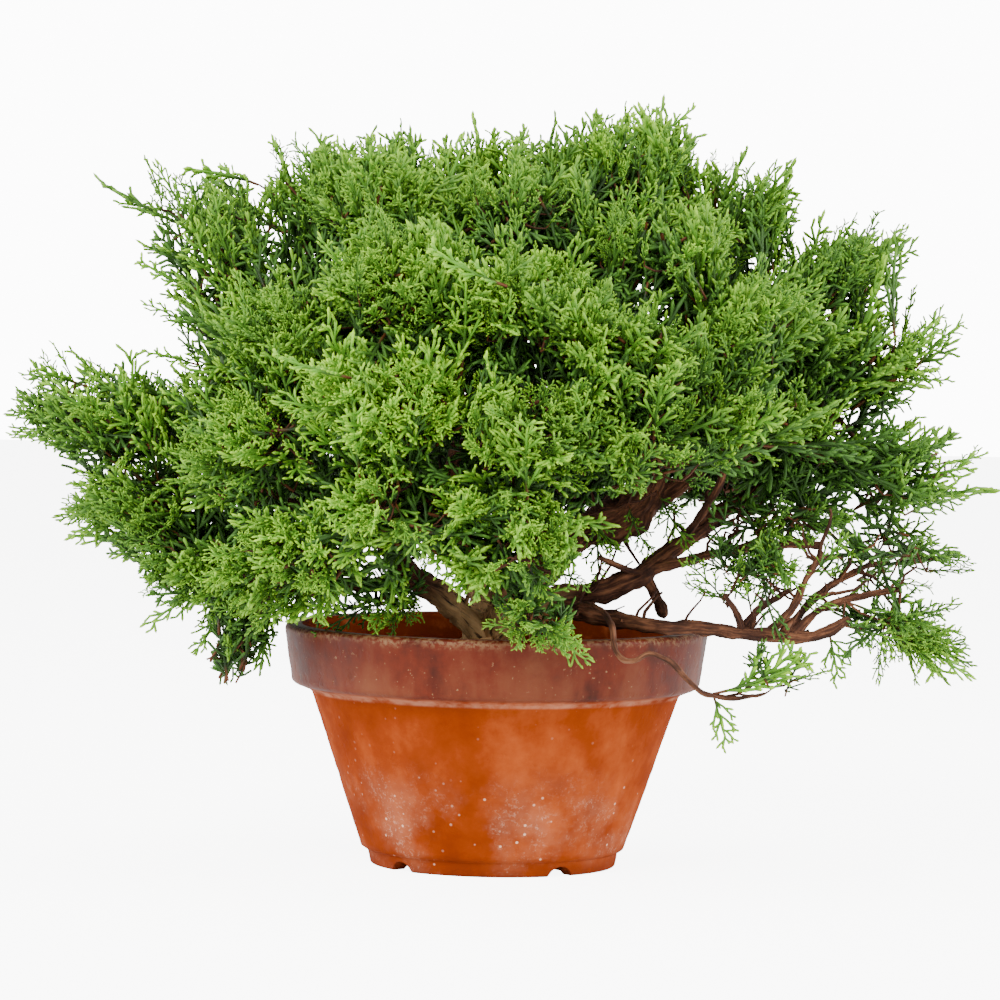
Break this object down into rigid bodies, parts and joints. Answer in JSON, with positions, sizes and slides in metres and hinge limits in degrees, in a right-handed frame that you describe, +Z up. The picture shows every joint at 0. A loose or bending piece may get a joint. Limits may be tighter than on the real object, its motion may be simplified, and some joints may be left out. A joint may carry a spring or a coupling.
{
  "type": "bonsai tree in a pot",
  "caption": "Juniper bonsai with a spreading, windswept crown of scale leaves and bare twisting limbs, planted in a banded terracotta training pot with a notched foot.",
  "frame": {"origin": "centre of the circle that the pot's foot ring stands on, on the pot's axis", "axes": "+Z up along the pot's axis, -Y towards the front of the tree, +X towards the long low branch that crosses the rim"},
  "size_m": [0.4738, 0.338, 0.3725],
  "materials": {
    "terracotta": "matte",
    "soil": "matte",
    "bark": "matte",
    "foliage": "satin"
  },
  "bodies": {
    "root": {"pot": "terracotta", "soil": "soil", "trunk_and_branches": "bark", "leaves_left_hanging": "foliage", "leaves_left_low": "foliage", "leaves_left_skirt": "foliage", "leaves_left_tip": "foliage", "leaves_left_inner": "foliage", "leaves_left_upper": "foliage", "leaves_left_crest": "foliage", "leaves_left_crown": "foliage", "leaves_crown_left": "foliage", "leaves_crown": "foliage", "leaves_crown_tip": "foliage", "leaves_right_crown": "foliage", "leaves_right_crest": "foliage", "leaves_right_upper": "foliage", "leaves_right_shoulder": "foliage", "leaves_right_inner": "foliage", "leaves_right_tip": "foliage", "leaves_right_side": "foliage", "leaves_right_low": "foliage", "leaves_right_fork": "foliage", "leaves_right_upturned": "foliage", "leaves_front_sprig": "foliage", "leaves_front_skirt_left": "foliage", "leaves_front_pot_left": "foliage", "leaves_front_low_left": "foliage", "leaves_front_low": "foliage", "leaves_front_pot": "foliage", "leaves_front_left": "foliage", "leaves_front_bright": "foliage", "leaves_front_middle": "foliage", "leaves_front_right_low": "foliage", "leaves_front_right": "foliage", "leaves_front_shoulder_right": "foliage", "leaves_front_flank_right": "foliage", "leaves_front_high": "foliage", "leaves_front_high_left": "foliage", "leaves_front_flank_left": "foliage", "leaves_front_crest_left": "foliage", "leaves_front_crest": "foliage", "leaves_front_crest_right": "foliage", "leaves_back_low_left": "foliage", "leaves_back_left": "foliage", "leaves_back_low": "foliage", "leaves_back_low_right": "foliage", "leaves_back_right": "foliage", "leaves_back_high_left": "foliage", "leaves_back_high": "foliage", "leaves_back_high_right": "foliage", "leaves_back_flank_right": "foliage", "leaves_back_crest_left": "foliage", "leaves_back_crest": "foliage"}
  },
  "joints": []
}
